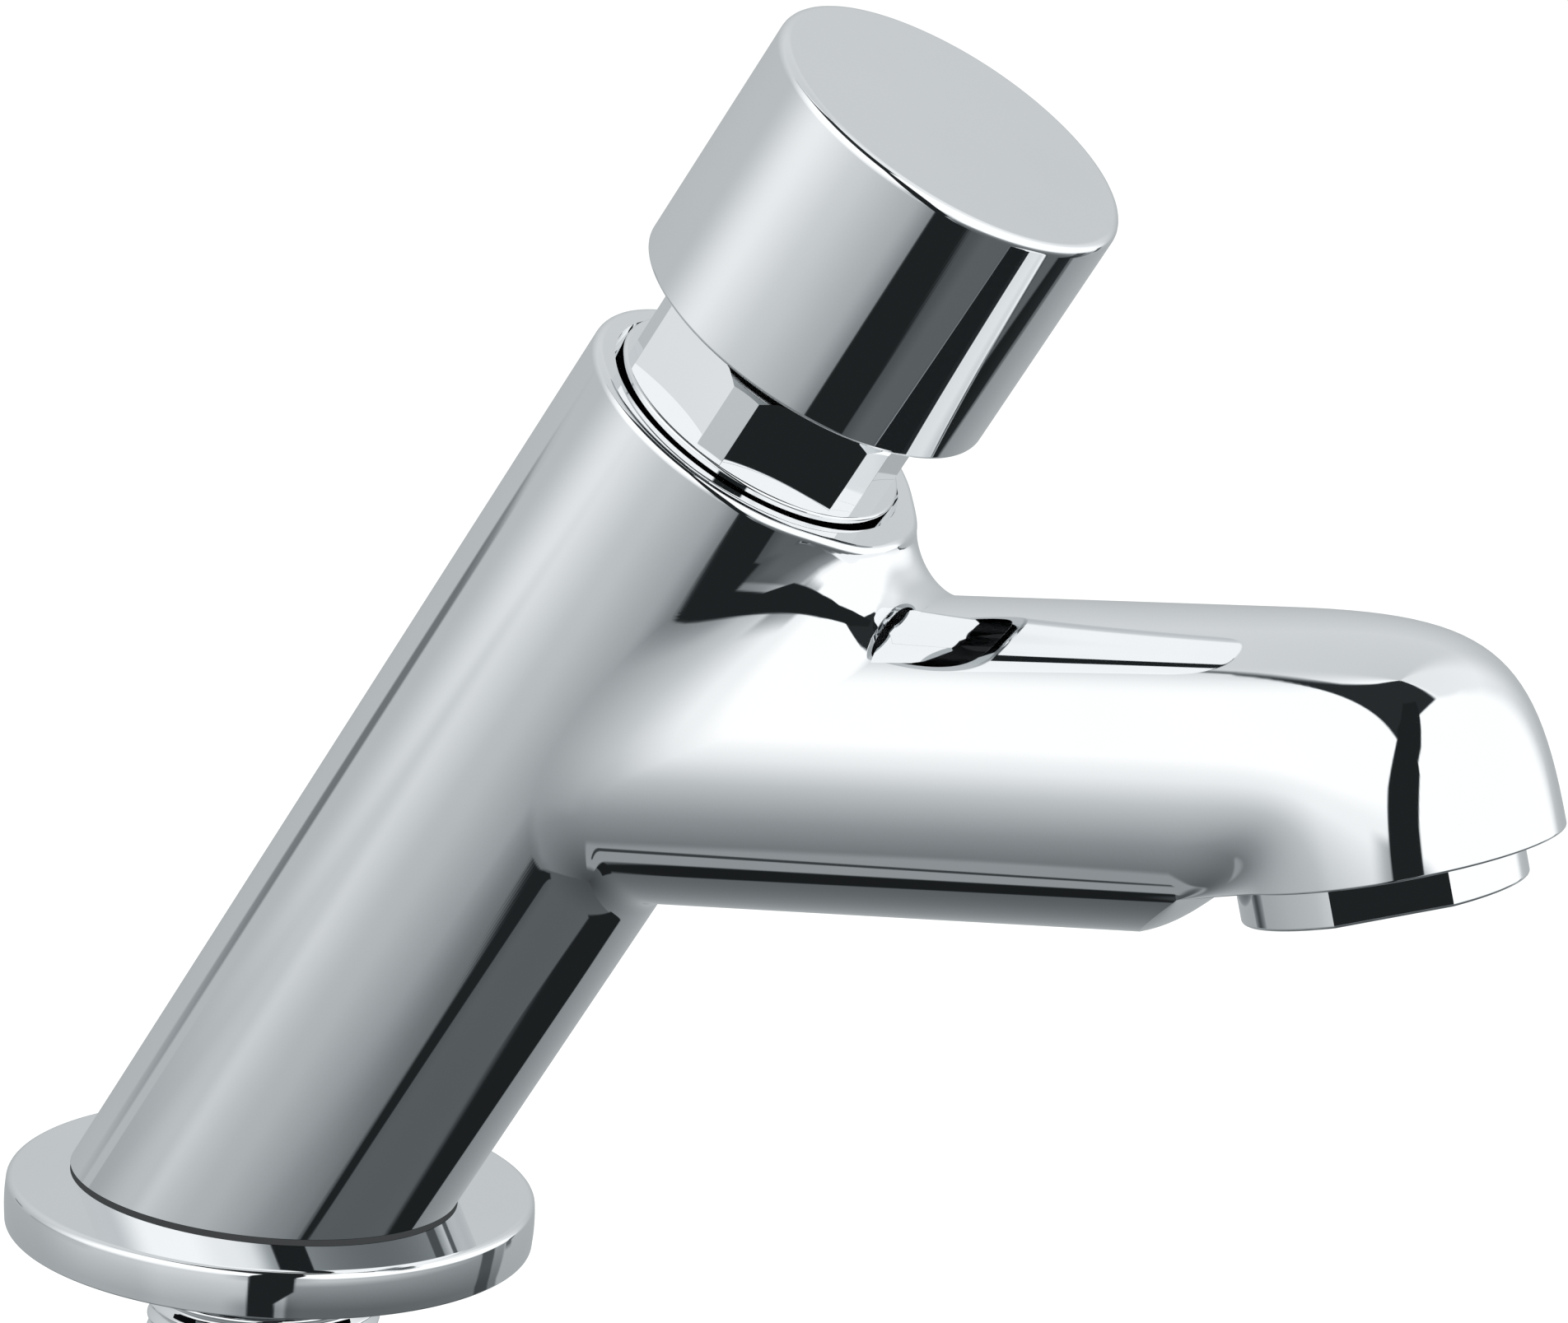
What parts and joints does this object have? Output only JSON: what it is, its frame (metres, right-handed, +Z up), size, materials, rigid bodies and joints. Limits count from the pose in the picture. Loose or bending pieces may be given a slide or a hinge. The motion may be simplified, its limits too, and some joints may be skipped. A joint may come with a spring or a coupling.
{
  "type": "push timed tap",
  "caption": "Chrome pillar tap for a basin: leaning barrel with a push button on a slow-closing cartridge, rising spout with aerator, round base plate and threaded tail.",
  "frame": {"origin": "centre of the base plate's underside, on the upper face of the deck", "axes": "+Z up, square to the deck; +X along the spout, away from the barrel; the outer form mirrors in the XZ plane"},
  "size_m": [0.1487, 0.05, 0.1738],
  "materials": {
    "polished_chrome": "mirror-polished chrome plate on cast brass",
    "turned_brass": "turned, bare",
    "black_rubber": "matt",
    "stainless_steel": "fine ground",
    "white_plastic": "moulded",
    "dark_plastic": "moulded",
    "blue_plastic": "moulded"
  },
  "bodies": {
    "tap": {"body": "polished_chrome", "base_plate": "polished_chrome", "base_gasket": "black_rubber", "body_seal": "black_rubber", "inlet_tail": "polished_chrome", "deck_washer": "black_rubber", "clamp_washer": "stainless_steel", "back_nut": "turned_brass", "flow_regulator": "blue_plastic", "inlet_strainer": "stainless_steel", "cartridge_housing": "turned_brass", "lower_o_ring": "black_rubber", "upper_o_ring": "black_rubber", "bleed_wire": "stainless_steel", "head_nut": "polished_chrome", "gland_bush": "white_plastic", "stem_o_ring": "black_rubber", "return_spring": "stainless_steel", "aerator_housing": "polished_chrome", "aerator_insert": "white_plastic", "aerator_screen": "stainless_steel", "aerator_washer": "black_rubber"},
    "plunger": {"stem": "stainless_steel", "piston": "white_plastic", "piston_seal": "black_rubber", "valve_holder": "turned_brass", "valve_washer": "black_rubber", "valve_nut": "turned_brass", "button_cap": "polished_chrome", "button_insert": "dark_plastic", "button_screw": "stainless_steel"}
  },
  "joints": [
    {"name": "button_press", "type": "slide", "parent": "tap", "child": "plunger", "axis": [-0.4924, 0, -0.8704], "range_m": [0, 0.008], "stiffness_N_per_m": 800, "springref_m": -0.012, "deforming": ["return_spring"]}
  ]
}
